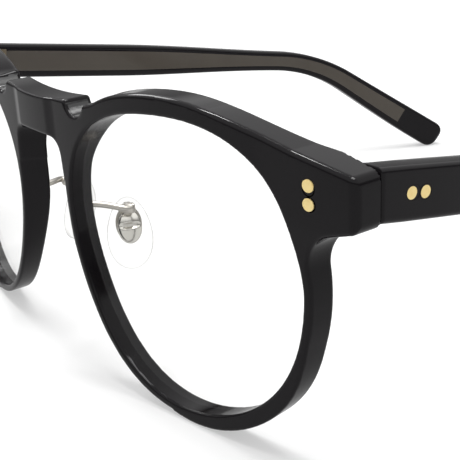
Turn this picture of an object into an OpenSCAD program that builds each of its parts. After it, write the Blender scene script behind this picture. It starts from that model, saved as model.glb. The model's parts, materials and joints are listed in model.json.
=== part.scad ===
// Round spectacles: a thick plastic front with riveted hinges, cored plastic temples,
// clear lenses, and clear nose pads on metal arms.
// Frame: +X to the wearer's right-hand side seen from the front, +Y from the front towards the ears,
// +Z up. The spectacles stand open on Z = 0, on their rims and temple tips.

/* [Lens openings] */
// Width of each lens opening
eye_w = 47.4; // [42:0.2:52]
// Ovalness of the opening, as a share of its radius
eye_oval = 0.0176; // [0:0.0004:0.04]
// Pear shape of the opening, as a share of its radius
eye_pear = 0.034; // [0:0.001:0.05]
// Squareness of the opening, as a share of its radius
eye_square = 0.0177; // [0:0.0003:0.03]
// Distance between the two openings across the nose
nose_gap = 19.2; // [17:0.2:23]

/* [Lenses] */
// Thickness of each lens
lens_t = 1.4; // [1:0.1:1.8]
// How far the lens groove starts behind the front face
lens_setback = 1.3; // [0.8:0.1:1.6]
// Depth of the lens groove in the rim
groove_depth = 0.7; // [0.4:0.1:0.9]
// Gap between a lens and its groove
lens_gap = 0.02; // [0.01:0.01:0.05]

/* [Front] */
// Thickness of the front
front_t = 4.1; // [3.6:0.1:4.8]
// Radius that the front is curved to
front_radius = 193; // [150:1:400]
// Width of the rim at the side and below
rim_side = 1.4; // [1.2:0.1:2.4]
// Width of the rim on top
rim_top = 3.0; // [2.4:0.1:4]
// Extra width of the rim's back towards the nose
nose_swell = 3.0; // [1.5:0.1:3.4]
// Angle that the top of the front leans forward as it stands
front_lean = 1.9; // [0:0.1:4]

/* [Bridge] */
// Height of the bridge's top edge above the lens centres
bridge_top = 21.7; // [20:0.1:23]
// Height of the arch under the bridge above the lens centres
bridge_bottom = 14.9; // [13:0.1:16]
// Half the width of the sunk face on the bridge
bridge_face = 8.7; // [6:0.1:9]
// How deep the bridge's face is sunk
bridge_sink = 0.5; // [0.3:0.1:1.2]
// Half the width of each slope into the sunk face
bridge_slope = 3; // [1:0.1:4]
// Half the width of the arch at the front face
arch_half = 7.6; // [6.5:0.1:8]
// Radius of the arch's two top corners
arch_r = 2.4; // [1.5:0.1:3.5]
// Radius of the two notches beside the bridge
notch_r = 2.5; // [2:0.1:4]
// Distance of each notch from the middle
notch_x = 13; // [12:0.1:14]
// Height of each notch's floor above the lens centres
notch_floor = 19.3; // [19:0.1:20.5]

/* [Endpieces] */
// How far each endpiece stands out past the lens opening
end_out = 9; // [8:0.1:11]
// Height of the endpiece's top corner above the lens centres
end_top = 19.9; // [19.5:0.1:21]
// Height of the endpiece's bottom corner above the lens centres
end_bottom = 12.5; // [11.5:0.1:12.8]
// Depth of the endpiece's side face
end_depth = 4.6; // [4:0.1:5.5]
// Angle that the endpiece's front face turns back
end_yaw = 9.4; // [7:0.1:11]
// Radius of the hollow under the endpiece
end_fillet = 4.8; // [2:0.1:5]

/* [Temples] */
// Height of the temple at the hinge
temple_h = 7.1; // [6.6:0.1:7.4]
// Thickness of the temple
temple_t = 4.1; // [3.6:0.1:4.6]
// Angle that the temple falls from the hinge to the ear
temple_drop = 7.25; // [6:0.25:9]
// Angle that the temple opens outwards
temple_splay = 1.3; // [0:0.1:2]
// Length from the hinge to the start of the ear bend
straight_len = 92; // [85:1:100]
// Height of the temple at the ear bend
waist_h = 4.8; // [4.2:0.1:6]
// Radius of the ear bend
bend_r = 53; // [40:1:70]
// Angle of the ear bend
ear_bend = 26; // [22:0.5:32]
// Height of the ear tip
tip_h = 6.6; // [5.5:0.1:8]
// Distance from the hinge at which the temple starts to sweep inwards
sweep_start = 56; // [45:1:65]
// Radius of the inward sweep
sweep_r = 260; // [230:5:400]

/* [Core wires] */
// Height of the flat core wire
core_h = 2.4; // [1.5:0.1:2.8]
// Thickness of the core wire
core_t = 1.2; // [0.8:0.1:1.4]
// Distance of the core wire's front end from the hinge
core_start = 12; // [11:0.5:16]
// Length of plastic beyond the core wire's rear end
core_tail = 9; // [7:0.5:14]

/* [Hinges] */
// Radius of the hinge barrel
barrel_r = 1.1; // [1:0.05:1.2]
// Length of the hinge barrel
barrel_len = 5; // [4.6:0.1:5.6]
// Radius of the hinge screw's shank
screw_r = 0.6; // [0.5:0.05:0.7]
// Radius of the hinge screw's head
screw_head_r = 0.95; // [0.8:0.05:1.05]
// Height of the hinge screw's head
screw_head_h = 0.45; // [0.3:0.05:0.6]
// Thickness of the hinge plates
plate_t = 0.9; // [0.7:0.05:1]
// Length of the hinge plate on the front
front_plate_len = 5.4; // [4.6:0.1:5.6]
// Length of the hinge plate on the temple
temple_plate_len = 9.6; // [9.2:0.1:10.2]
// Gap round each moving hinge part
run_gap = 0.05; // [0.03:0.01:0.08]

/* [Rivets] */
// Radius of a rivet's head
rivet_r = 0.875; // [0.7:0.025:1]
// Depth of a rivet's head
rivet_head = 1.4; // [1:0.1:1.6]
// Radius of a rivet's shank
rivet_shank = 0.55; // [0.4:0.05:0.6]
// Distance between the two rivets of a pair
rivet_pitch = 2.5; // [2.2:0.1:2.6]
// Distance of the front rivets from the hinge axis
front_rivet_in = 1.8; // [1.75:0.05:2.2]
// Height of the front rivets' middle above the lens centres
front_rivet_z = 15.9; // [15.6:0.1:16.4]
// Distance of the first temple rivet from the hinge axis
temple_rivet_out = 5.4; // [4.6:0.1:5.6]

/* [Nose pads] */
// Height of a nose pad
pad_h = 12.6; // [11:0.1:14]
// Width of a nose pad
pad_w = 7.8; // [7:0.1:9]
// Thickness of a nose pad
pad_t = 2.4; // [2:0.1:3]
// Radius that a pad's nose side is domed to
pad_dome = 20; // [16:1:40]
// Distance of a pad's middle from the middle of the bridge
pad_x = 8.6; // [8:0.1:9.4]
// Distance of a pad's middle behind the front face
pad_y = 11.2; // [10.8:0.1:12.4]
// Height of a pad's middle above the lens centres
pad_z = -4.1; // [-5:0.1:-3.4]
// Angle that a pad's rear edge turns away from the nose
pad_splay = 24; // [15:1:30]
// Angle that a pad's lower edge turns away from the nose
pad_flare = 12; // [5:1:18]
// Radius of the pad arm's wire
wire_r = 0.55; // [0.45:0.05:0.65]
// Height of the pad arm's root above the lens centres
arm_root_z = 2.6; // [2:0.1:4]
// Depth of the pad arm's root in the rim
arm_root_depth = 1.8; // [1:0.1:2]
// Radius of the pad screw's shank
pad_screw_r = 0.4; // [0.3:0.05:0.5]
// Thickness of the lug on the pad's core
lug_t = 1.0; // [0.8:0.1:1.2]

/* [Hidden] */
$fn = 48;
// Steps round each lens opening
eye_steps = 72;
// Gap between pieces of one body that are pressed together
seat_gap = 0.01;
// Length that a cutting tool runs past what it cuts
over = 1;

// Directions of the opening's three shape waves, from the side of the ear upwards
oval_at = -36;
pear_at = 34;
square_at = -36;
// Direction in which the rim is widest, and in which its back swells towards the nose
rim_peak = 103;
swell_at = 165;

function eye_r(a) = eye_w / 2 * (1 + eye_oval * cos(2 * (a - oval_at))
    + eye_pear * cos(3 * (a - pear_at)) + eye_square * cos(4 * (a - square_at)));
function rim_r(a) = eye_r(a) + rim_side + (rim_top - rim_side) * pow(max(0, cos(a - rim_peak)), 1.5);
function blank_r(a) = rim_r(a) + nose_swell * pow(max(0, cos(a - swell_at)), 6);
function sag(x) = front_radius - sqrt(front_radius * front_radius - x * x);
function ease(x) = let (c = max(0, min(1, x))) c * c * (3 - 2 * c);
angles = [for (i = [0 : eye_steps - 1]) i * 360 / eye_steps];
eye_x = nose_gap / 2 + max([for (a = angles) -eye_r(a) * cos(a)]);

half_w = eye_x + eye_w / 2 + end_out;

// The rims' lowest point stands on Z = 0
eye_z = max([for (a = angles)
    -rim_r(a) * sin(a) * cos(front_lean) - sag(eye_x + rim_r(a) * cos(a)) * sin(front_lean)]);

// Plane of the joint between endpiece and temple, in the front's own frame
corner_y = sag(eye_x) + (half_w - eye_x) * tan(end_yaw) + 0.93;
mitre_y = corner_y + end_depth;
// The hinge axis stands upright, just inside the temple's inner face
axis_in = barrel_r + 0.2;
hinge_x = half_w - temple_t - axis_in;
hinge_v = (end_top + end_bottom) / 2;
hinge_y = mitre_y * cos(front_lean) - hinge_v * sin(front_lean);
hinge_z = eye_z + hinge_v * cos(front_lean) + mitre_y * sin(front_lean);

// Side view of the temple, along Y from the hinge axis: end of the bend, and the ear tip on Z = 0
bend_y = straight_len + bend_r * sin(ear_bend);
bend_z = -bend_r * (1 - cos(ear_bend));
tip_r = tip_h / 2;
ear_fall = hinge_z - bend_y * sin(temple_drop) + bend_z * cos(temple_drop) - tip_r;
ear_len = ear_fall / sin(ear_bend + temple_drop);
tip_y = bend_y + ear_len * cos(ear_bend);
tip_z = bend_z - ear_len * sin(ear_bend);

// The origin is in the middle of the box that holds the spectacles
tip_s = tip_y * cos(temple_drop) + tip_z * sin(temple_drop) + tip_r;
tip_in = sweep_r - temple_t - sqrt(pow(sweep_r - temple_t, 2) - pow(tip_s - sweep_start, 2));
back_y = hinge_y + tip_s * cos(temple_splay) + tip_in * sin(temple_splay);
face_y = sag(bridge_face) * cos(front_lean) - bridge_top * sin(front_lean);
origin_y = -(back_y + face_y) / 2;

// Places children given in the front's own frame
module in_front() {
    translate([0, origin_y, eye_z]) rotate([front_lean, 0, 0]) children();
}

// Places children given in the right-hand hinge's frame, with the axis along Z
module in_hinge() {
    translate([hinge_x, origin_y + hinge_y, hinge_z]) children();
}

// Places children given in the right-hand temple's frame: inner face at x = 0, length along Y
module on_temple() {
    in_hinge() translate([axis_in, 0, 0]) rotate([0, 0, -temple_splay]) children();
}

// Left-hand pieces are the right-hand ones mirrored
module on_side(left) {
    mirror([left ? 1 : 0, 0, 0]) children();
}

// Extrudes an outline drawn in X and Z along Y
module through(from, to) {
    translate([0, to, 0]) rotate([90, 0, 0]) linear_extrude(to - from) children();
}

module ring_outline(radii) {
    translate([eye_x, 0]) polygon([for (i = [0 : eye_steps - 1])
        [radii[i] * cos(angles[i]), radii[i] * sin(angles[i])]]);
}

// Curved sheet between two depths behind the front face
module curved_sheet(from, to) {
    translate([0, front_radius, -40]) difference() {
        cylinder(r = front_radius - from, h = 80, $fn = 360);
        translate([0, 0, -over]) cylinder(r = front_radius - to, h = 80 + 2 * over, $fn = 360);
    }
}

// Outline of the top edge and endpiece on the right-hand side, closed along its lower left by foot
end_round = [half_w - 3.7, end_bottom - 1.1 - end_fillet];
module end_outline(foot) {
    polygon(concat([[eye_x + 6.3, rim_r(76) * sin(76)], [half_w, end_top], [half_w, end_bottom]],
        [for (a = [90 : 15 : 180]) end_round + end_fillet * [cos(a), sin(a)]], foot));
}

// Plan of the thick endpiece, with its front face turned back
end_in = eye_x + 15.6;
module end_plan() {
    linear_extrude(40) polygon([[end_in, corner_y - (half_w - end_in) * tan(end_yaw)],
        [half_w, corner_y], [half_w, mitre_y], [half_w - 10, mitre_y],
        [end_in, sag(end_in) + front_t - 0.2]]);
}

// The bridge's blank reaches down to where the cut towards the nose meets the arch's side
bridge_foot = rim_r(164) * sin(164);

module front_blank() {
    intersection() {
        curved_sheet(0, front_t);
        through(-over, mitre_y) union() {
            ring_outline([for (a = angles) blank_r(a)]);
            end_outline([[eye_x + rim_r(8) * cos(8), rim_r(8) * sin(8)], [eye_x + 12, 4]]);
            translate([0, bridge_foot]) square([eye_x / 2, bridge_top - bridge_foot]);
        }
    }
    intersection() {
        end_plan();
        through(-over, 2 * mitre_y) end_outline([[end_in, end_round.y]]);
    }
}

// Slanted cut that leaves the rim narrow in front and wide behind, towards the nose
slant = atan(nose_swell / front_t);
module nose_cut() {
    side_angles = [for (a = [164 : 6 : 236]) a];
    outline = concat([[-2 * arch_half, bridge_bottom], [arch_half - arch_r, bridge_bottom]],
        [for (a = [75 : -15 : 0]) [arch_half - arch_r, bridge_bottom - arch_r] + arch_r * [cos(a), sin(a)]],
        [for (a = side_angles) [eye_x + rim_r(a) * cos(a), rim_r(a) * sin(a)]],
        [[-2 * arch_half, rim_r(236) * sin(236)]]);
    translate([arch_half, 0, 0]) rotate([0, 0, slant]) through(-over, 3 * front_t)
        polygon([for (p = outline) [(p.x - arch_half) * cos(slant), p.y]]);
}

module lens_shape(grow, from, to) {
    intersection() {
        curved_sheet(from, to);
        through(-over, 2 * mitre_y) ring_outline([for (a = angles) eye_r(a) + grow]);
    }
}

module bridge_cuts() {
    translate([0, 0, bridge_bottom - over]) linear_extrude(bridge_top) polygon([
        [-over, -over], [bridge_face + bridge_slope, 2 * sag(bridge_face) - bridge_sink],
        [bridge_face - bridge_slope, bridge_sink], [-over, bridge_sink]]);
    translate([notch_x, -over, notch_floor + notch_r]) rotate([-90, 0, 0])
        cylinder(r = notch_r, h = 3 * front_t);
}

// A pair of rivets along Y from a face at y = 0: heads first, then shanks of a total length
module rivet_pair(step, length, gap) {
    for (side = [-0.5, 0.5]) translate(side * step) rotate([-90, 0, 0]) {
        translate([0, 0, -over]) cylinder(r = rivet_r + gap, h = rivet_head + over + gap);
        cylinder(r = rivet_shank + gap, h = length);
    }
}

module place_front_rivets() {
    face = corner_y - (half_w - hinge_x + front_rivet_in) * tan(end_yaw);
    translate([hinge_x - front_rivet_in, face, front_rivet_z]) children();
}

module front_rivet_tools(gap) {
    intersection() {
        place_front_rivets() rivet_pair([0, 0, rivet_pitch], mitre_y - 0.65 - corner_y + 1.2, gap);
        end_plan();
    }
}

// Height of the hinge plates, how far they stand out of the plastic, and the gap between the front
// plate's back and the axis
plate_h = barrel_len;
proud = 0.1;
plate_back = 0.4;
module front_plate(gap) {
    translate([-front_plate_len - 0.2 - gap, -plate_back - plate_t - gap, -plate_h / 2 - gap])
        cube([front_plate_len + gap, plate_t + 2 * gap, plate_h + 2 * gap]);
}

// Room behind the endpiece for the barrel and the moving plate
module hinge_room() {
    reach = 3 * barrel_len;
    translate([-2 * front_plate_len, -plate_back - proud, -reach / 2])
        cube([2 * front_plate_len + axis_in, reach, reach]);
    cylinder(r = barrel_r + 2 * run_gap, h = barrel_len + 2 * screw_head_h + 0.4, center = true);
    front_plate(seat_gap);
}

knuckle = barrel_len / 5;
module knuckles(numbers, radius, gap) {
    for (i = numbers) translate([0, 0, (i - 2.5) * knuckle - gap])
        cylinder(r = radius, h = knuckle + 2 * gap);
}

// The root of the pad arm, in the back of the rim
root_x = eye_x - rim_r(172);
root_face = sag(root_x) + front_t;
module arm_root(gap) {
    translate([root_x, root_face - arm_root_depth - gap, arm_root_z]) rotate([-90, 0, 0])
        cylinder(r = wire_r + 0.25 + gap, h = arm_root_depth + 0.2 + gap);
}

module front_side() {
    difference() {
        front_blank();
        nose_cut();
        bridge_cuts();
        through(-over, 2 * mitre_y) ring_outline([for (a = angles) eye_r(a)]);
        lens_shape(groove_depth, lens_setback, lens_setback + lens_t + 2 * lens_gap);
        place_front_rivets() rivet_pair([0, 0, rivet_pitch], end_depth, seat_gap);
        translate([hinge_x, mitre_y, hinge_v]) rotate([-front_lean, 0, 0]) hinge_room();
        arm_root(seat_gap);
    }
}

module front_frame() {
    color([0.05, 0.05, 0.055]) in_front() union() {
        front_side();
        mirror([1, 0, 0]) front_side();
    }
}

module lens(left) {
    color([0.85, 0.9, 0.9, 0.4]) on_side(left) in_front()
        lens_shape(groove_depth - lens_gap, lens_setback + lens_gap, lens_setback + lens_gap + lens_t);
}

module front_rivets(left) {
    color([0.85, 0.7, 0.45]) on_side(left) in_front() front_rivet_tools(0);
}

module front_hinge(left) {
    color([0.75, 0.75, 0.77]) on_side(left) difference() {
        in_hinge() difference() {
            union() {
                front_plate(0);
                for (i = [0, 2, 4]) translate([-barrel_r, -plate_back - plate_t, (i - 2.5) * knuckle + run_gap / 2])
                    cube([barrel_r - 0.2, plate_back + plate_t, knuckle - run_gap]);
                knuckles([0, 2, 4], barrel_r, -run_gap / 2);
            }
            knuckles([1, 3], barrel_r + run_gap, run_gap / 2);
            cylinder(r = screw_r + seat_gap, h = 2 * barrel_len, center = true);
        }
        in_front() place_front_rivets() rivet_pair([0, 0, rivet_pitch], 2 * end_depth, seat_gap);
    }
}

module hinge_screw(left) {
    color([0.8, 0.8, 0.82]) on_side(left) in_hinge() {
        translate([0, 0, -barrel_len / 2]) cylinder(r = screw_r, h = barrel_len);
        difference() {
            translate([0, 0, barrel_len / 2]) cylinder(r = screw_head_r, h = screw_head_h);
            translate([0, 0, barrel_len / 2 + screw_head_h]) cube([3, 0.25, 0.4], center = true);
        }
    }
}

// Heads and shanks of the temple's rivets, from its outer face inwards
module temple_rivet_tools(length, gap) {
    rotate([-temple_drop, 0, 0]) translate([temple_t, temple_rivet_out + rivet_pitch / 2, 0])
        rotate([0, 0, 90]) rivet_pair([rivet_pitch, 0, 0], length, gap);
}

// Plate let into the temple's inner face, with the arms that carry its two knuckles
module temple_plate(gap) {
    on_temple() rotate([-temple_drop, 0, 0]) translate([-proud - gap, 0.5 - gap, -plate_h / 2 - gap])
        cube([plate_t + 2 * gap, temple_plate_len + 2 * gap, plate_h + 2 * gap]);
    in_hinge() for (i = [1, 3]) translate([0, 0.2 - gap, (i - 2.5) * knuckle + run_gap / 2 - gap])
        cube([axis_in + plate_t / 2, barrel_r - 0.2 + 2 * gap, knuckle - run_gap + 2 * gap]);
}

module temple_hinge(left) {
    color([0.75, 0.75, 0.77]) on_side(left) difference() {
        union() {
            temple_plate(0);
            in_hinge() knuckles([1, 3], barrel_r, -run_gap / 2);
        }
        in_hinge() cylinder(r = screw_r + run_gap, h = 2 * barrel_len, center = true);
        on_temple() temple_rivet_tools(2 * temple_t, seat_gap);
    }
}

// Band that follows the temple from above, between two distances inside its outer face
module temple_band(from, to) {
    translate([temple_t, 0, -60]) {
        translate([-to, -5, 0]) cube([to - from, sweep_start + 5, 80]);
        translate([-sweep_r, sweep_start, 0]) intersection() {
            difference() {
                cylinder(r = sweep_r - from, h = 80, $fn = 720);
                translate([0, 0, -over]) cylinder(r = sweep_r - to, h = 80 + 2 * over, $fn = 720);
            }
            translate([0, -0.001, 0]) cube([sweep_r, tip_y, 80]);
        }
    }
}

// Temple's middle line and height, at a length t from the hinge
bend_len = bend_r * ear_bend * PI / 180;
function middle(t) = let (a = max(0, min(ear_bend, (t - straight_len) / bend_r * 180 / PI)),
        past = max(0, t - straight_len - bend_len))
    [min(t, straight_len) + bend_r * sin(a) + past * cos(a), -bend_r * (1 - cos(a)) - past * sin(a)];
function lean(t) = max(0, min(ear_bend, (t - straight_len) / bend_r * 180 / PI));
waist_at = straight_len + 2;
whole_len = straight_len + bend_len + ear_len;
function height(t) = t < waist_at
    ? temple_h - (temple_h - waist_h) * ease((t - 42) / (waist_at - 42))
    : waist_h + (tip_h - waist_h) * ease((t - waist_at) / (whole_len - waist_at) * 0.9 + 0.1);

stations = concat([-5, 42], [for (t = [48 : 6 : straight_len - 2]) t],
    [for (i = [0 : 9]) straight_len + i * bend_len / 9],
    [for (i = [1 : 5]) straight_len + bend_len + i * ear_len / 5]);

// Side view of the temple, from above its middle line round the tip and back below it
module temple_side() {
    over_line = [for (t = stations) middle(t) + height(t) / 2 * [sin(lean(t)), cos(lean(t))]];
    tip = [for (a = [75 : -15 : -75]) middle(whole_len) + tip_r * [cos(a - ear_bend), sin(a - ear_bend)]];
    under_line = [for (i = [len(stations) - 1 : -1 : 0]) let (t = stations[i])
        middle(t) - height(t) / 2 * [sin(lean(t)), cos(lean(t))]];
    rotate([-temple_drop, 0, 0]) translate([-50, 0, 0]) rotate([90, 0, 90])
        linear_extrude(100) polygon(concat(over_line, tip, under_line));
}

// Side view of the core wire
module core_side(gap) {
    marks = concat([core_start - gap, straight_len / 2, straight_len],
        [for (i = [1 : 6]) straight_len + i * bend_len / 6], [whole_len - core_tail + gap]);
    half = core_h / 2 + gap;
    rotate([-temple_drop, 0, 0]) translate([-50, 0, 0]) rotate([90, 0, 90]) linear_extrude(100)
        polygon(concat([for (t = marks) middle(t) + half * [sin(lean(t)), cos(lean(t))]],
            [for (i = [len(marks) - 1 : -1 : 0]) let (t = marks[i])
                middle(t) - half * [sin(lean(t)), cos(lean(t))]]));
}

module core_shape(gap) {
    intersection() {
        temple_band((temple_t - core_t) / 2 - gap, (temple_t + core_t) / 2 + gap);
        core_side(gap);
    }
}

module temple(left) {
    color([0.05, 0.05, 0.055]) on_side(left) difference() {
        on_temple() difference() {
            intersection() {
                temple_band(0, temple_t);
                temple_side();
            }
            core_shape(seat_gap);
            temple_rivet_tools(temple_t - plate_t / 2, seat_gap);
        }
        temple_plate(seat_gap);
        in_hinge() rotate([front_lean, 0, 0]) translate([-20, run_gap - 20, -20]) cube([40, 20, 40]);
    }
}

module core_wire(left) {
    color([0.6, 0.6, 0.6]) on_side(left) on_temple() core_shape(0);
}

module temple_rivets(left) {
    color([0.85, 0.7, 0.45]) on_side(left) on_temple() intersection() {
        temple_rivet_tools(temple_t - 0.3, 0);
        temple_band(0, temple_t);
    }
}

// Pad's own directions: away from the nose, towards its rear edge, and up
pad_out = [cos(pad_flare) * cos(pad_splay), -cos(pad_flare) * sin(pad_splay), sin(pad_flare)];
pad_rear = [sin(pad_splay), cos(pad_splay), 0];
pad_up = [-sin(pad_flare) * cos(pad_splay), sin(pad_flare) * sin(pad_splay), cos(pad_flare)];
function at_pad(p) = [pad_x, pad_y, pad_z] + p.x * pad_out + p.y * pad_rear + p.z * pad_up;

// Places children given in the right-hand pad's frame: X away from the nose, Y to its rear edge
module in_pad() {
    in_front() translate([pad_x, pad_y, pad_z]) rotate([0, -pad_flare, -pad_splay]) children();
}

// Place of the pad screw, and of the oval plate, in the pad's frame
screw_out = pad_t / 2 + 1.3;
screw_up = 4.6;
plate_up = 1.6;
lug_r = pad_screw_r + 0.4;
pad_head_r = pad_screw_r + 0.25;
pad_head_h = 0.3;
cheek_t = 0.5;

module oval(width, height, drop_share) {
    polygon([for (a = [0 : 10 : 350])
        [width / 2 * cos(a) * (1 - drop_share * sin(a)), height / 2 * sin(a)]]);
}

// Oval plate moulded into the pad, and the lug that leaves it towards the arm
module core_plate(gap) {
    translate([-0.1 - gap, 0, plate_up]) rotate([90, 0, 90]) linear_extrude(0.6 + 2 * gap)
        oval(pad_w * 0.58 + 2 * gap, pad_h * 0.5 + 2 * gap, 0);
    translate([0.2, -lug_t / 2 - gap, screw_up - lug_r - gap])
        cube([screw_out - 0.2, lug_t + 2 * gap, 2 * (lug_r + gap)]);
}

module nose_pad(left) {
    color([0.9, 0.92, 0.95, 0.5]) on_side(left) in_pad() difference() {
        intersection() {
            translate([-pad_t / 2, 0, 0]) rotate([90, 0, 90]) linear_extrude(pad_t) oval(pad_w, pad_h, 0.14);
            translate([pad_dome - pad_t / 2, 0, 0]) sphere(r = pad_dome, $fn = 120);
        }
        core_plate(seat_gap);
    }
}

module pad_core(left) {
    color([0.8, 0.78, 0.7]) on_side(left) in_pad() difference() {
        union() {
            core_plate(0);
            translate([screw_out, 0, screw_up]) rotate([90, 0, 0])
                cylinder(r = lug_r, h = lug_t, center = true);
        }
        translate([screw_out, 0, screw_up]) rotate([90, 0, 0])
            cylinder(r = pad_screw_r + run_gap, h = 3 * lug_t, center = true);
    }
}

// Half the width of the box that holds the lug
box_half = lug_t / 2 + run_gap + cheek_t;
box_deep = lug_r + 0.2;

module rod(from, to, radius) {
    step = to - from;
    translate(from) rotate([0, acos(step.z / norm(step)), atan2(step.y, step.x)])
        cylinder(r = radius, h = norm(step));
}

// Wire that leaves the rim straight back, bends once, and ends in the box
module arm_wire() {
    hold = at_pad([screw_out + box_deep + 0.2, 0, screw_up]);
    corner = [root_x, root_face + 3.4, arm_root_z];
    way = (hold - corner) / norm(hold - corner);
    turn = acos(way.y);
    bend = 2 * wire_r;
    reach = bend * tan(turn / 2);
    lap = 0.1;
    rod([root_x, root_face - lap, arm_root_z], corner - [0, reach - lap, 0], wire_r);
    translate(corner - [0, reach, 0]) rotate([0, atan2(way.z, -way.x), 0]) translate([-bend, 0, 0])
        rotate_extrude(angle = turn) translate([bend, 0]) circle(r = wire_r + 0.02);
    rod(corner + (reach - lap) * way, hold, wire_r);
}

module pad_arm(left) {
    color([0.8, 0.8, 0.82]) on_side(left) difference() {
        union() {
            in_front() {
                arm_root(0);
                arm_wire();
            }
            in_pad() translate([screw_out - lug_r, -box_half, screw_up - lug_r])
                cube([lug_r + box_deep + 0.5, 2 * box_half, 2 * lug_r]);
        }
        in_pad() translate([screw_out, 0, screw_up]) {
            translate([-2 * lug_r, -lug_t / 2 - run_gap, -2 * lug_r])
                cube([2 * lug_r + box_deep, lug_t + 2 * run_gap, 4 * lug_r]);
            rotate([90, 0, 0]) cylinder(r = pad_screw_r + seat_gap, h = 4 * box_half, center = true);
            rotate([90, 0, 0]) translate([0, 0, box_half - run_gap])
                cylinder(r = pad_head_r + run_gap, h = pad_head_h + 3 * run_gap);
        }
    }
}

module pad_screw(left) {
    color([0.8, 0.8, 0.82]) on_side(left) in_pad() translate([screw_out, 0, screw_up]) rotate([90, 0, 0]) {
        cylinder(r = pad_screw_r, h = 2 * box_half, center = true);
        translate([0, 0, box_half]) cylinder(r = pad_head_r, h = pad_head_h);
    }
}

module lens_left() { lens(true); }
module lens_right() { lens(false); }
module front_rivets_left() { front_rivets(true); }
module front_rivets_right() { front_rivets(false); }
module front_hinge_left() { front_hinge(true); }
module front_hinge_right() { front_hinge(false); }
module hinge_screw_left() { hinge_screw(true); }
module hinge_screw_right() { hinge_screw(false); }
module temple_hinge_left() { temple_hinge(true); }
module temple_hinge_right() { temple_hinge(false); }
module temple_rivets_left() { temple_rivets(true); }
module temple_rivets_right() { temple_rivets(false); }
module temple_left() { temple(true); }
module temple_right() { temple(false); }
module core_wire_left() { core_wire(true); }
module core_wire_right() { core_wire(false); }
module pad_arm_left() { pad_arm(true); }
module pad_arm_right() { pad_arm(false); }
module pad_screw_left() { pad_screw(true); }
module pad_screw_right() { pad_screw(false); }
module pad_core_left() { pad_core(true); }
module pad_core_right() { pad_core(false); }
module nose_pad_left() { nose_pad(true); }
module nose_pad_right() { nose_pad(false); }

front_frame();
lens_left();
lens_right();
front_rivets_left();
front_rivets_right();
front_hinge_left();
front_hinge_right();
hinge_screw_left();
hinge_screw_right();
temple_hinge_left();
temple_hinge_right();
temple_rivets_left();
temple_rivets_right();
temple_left();
temple_right();
core_wire_left();
core_wire_right();
pad_arm_left();
pad_arm_right();
pad_screw_left();
pad_screw_right();
pad_core_left();
pad_core_right();
nose_pad_left();
nose_pad_right();
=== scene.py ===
"""Round black glossy eyeglasses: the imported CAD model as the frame, dressed with smooth-edged pieces."""
import json
import math

import bpy
import numpy as np
from mathutils import Matrix, Vector
from mathutils.bvhtree import BVHTree

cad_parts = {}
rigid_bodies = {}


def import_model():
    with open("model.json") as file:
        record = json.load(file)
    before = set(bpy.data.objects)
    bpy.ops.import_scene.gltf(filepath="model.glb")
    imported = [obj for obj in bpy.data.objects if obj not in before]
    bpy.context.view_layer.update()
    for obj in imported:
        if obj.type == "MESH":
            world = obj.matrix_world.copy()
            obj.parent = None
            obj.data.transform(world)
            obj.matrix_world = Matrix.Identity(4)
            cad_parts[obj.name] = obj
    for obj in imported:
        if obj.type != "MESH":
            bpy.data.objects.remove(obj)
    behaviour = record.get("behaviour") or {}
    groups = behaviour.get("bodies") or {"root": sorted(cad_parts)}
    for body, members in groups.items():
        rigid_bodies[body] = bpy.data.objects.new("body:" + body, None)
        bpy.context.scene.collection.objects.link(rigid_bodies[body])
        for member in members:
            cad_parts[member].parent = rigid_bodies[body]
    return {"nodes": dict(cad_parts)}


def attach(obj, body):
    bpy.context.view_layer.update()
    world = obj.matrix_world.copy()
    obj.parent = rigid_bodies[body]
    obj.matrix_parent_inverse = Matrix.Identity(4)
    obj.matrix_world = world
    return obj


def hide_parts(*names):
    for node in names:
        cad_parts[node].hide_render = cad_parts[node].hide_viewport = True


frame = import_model()
nodes = frame["nodes"]
scene = bpy.context.scene
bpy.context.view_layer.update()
MM = 0.001


def rad(a):
    """Degrees as radians."""
    return math.radians(a)


# ---------------------------------------------------------------- sizes shared with the source, in mm
# The front frame has u to the right, y (depth) backwards and v up, from halfway between the lens centres.
# Fields work in it, and everything is mirrored across u = 0.
LEAN = rad(1.9)
ORIGIN_Y, EYE_Z = -79.3809, 25.3081
EYE_X, EYE_R = 33.6239, 23.7
EYE_WAVES = ((2, 0.0176, -36), (3, 0.034, 34), (4, 0.0177, -36))
RIM_SIDE, RIM_TOP_MORE, RIM_TOP_AT = 1.4, 1.6, rad(103)
SWELL, SWELL_AT = 3.0, rad(165)
RADIUS, THICK = 193.0, 4.1
HALF_W, END_BOTTOM = 66.3239, 12.5
CORNER_Y, MITRE_Y, YAW = 9.295, 13.895, rad(9.4)
NOTCH_X, NOTCH_V, NOTCH_R = 13.0, 21.8, 2.5
AXIS_X, AXIS_Y, AXIS_Z = 60.9239, -66.0307, 41.9599
HINGE_V, BARREL_R, BARREL_HALF = 16.2, 1.2, 3.1
PLATE_FROM, PLATE_TO, PLATE_DEEP, PLATE_HALF = 55.3, 60.75, 1.32, 2.52
AXIS_IN, TEMPLE_T, TEMPLE_H = 1.3, 4.1, 7.1
DROP, SPLAY = rad(7.25), rad(1.3)
STRAIGHT, BEND_R, BEND = 92.0, 53.0, rad(26)
SWEEP_AT, SWEEP_R = 56.0, 260.0
WAIST_H, TIP_H, WHOLE = 4.8, 6.6, 150.332

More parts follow.
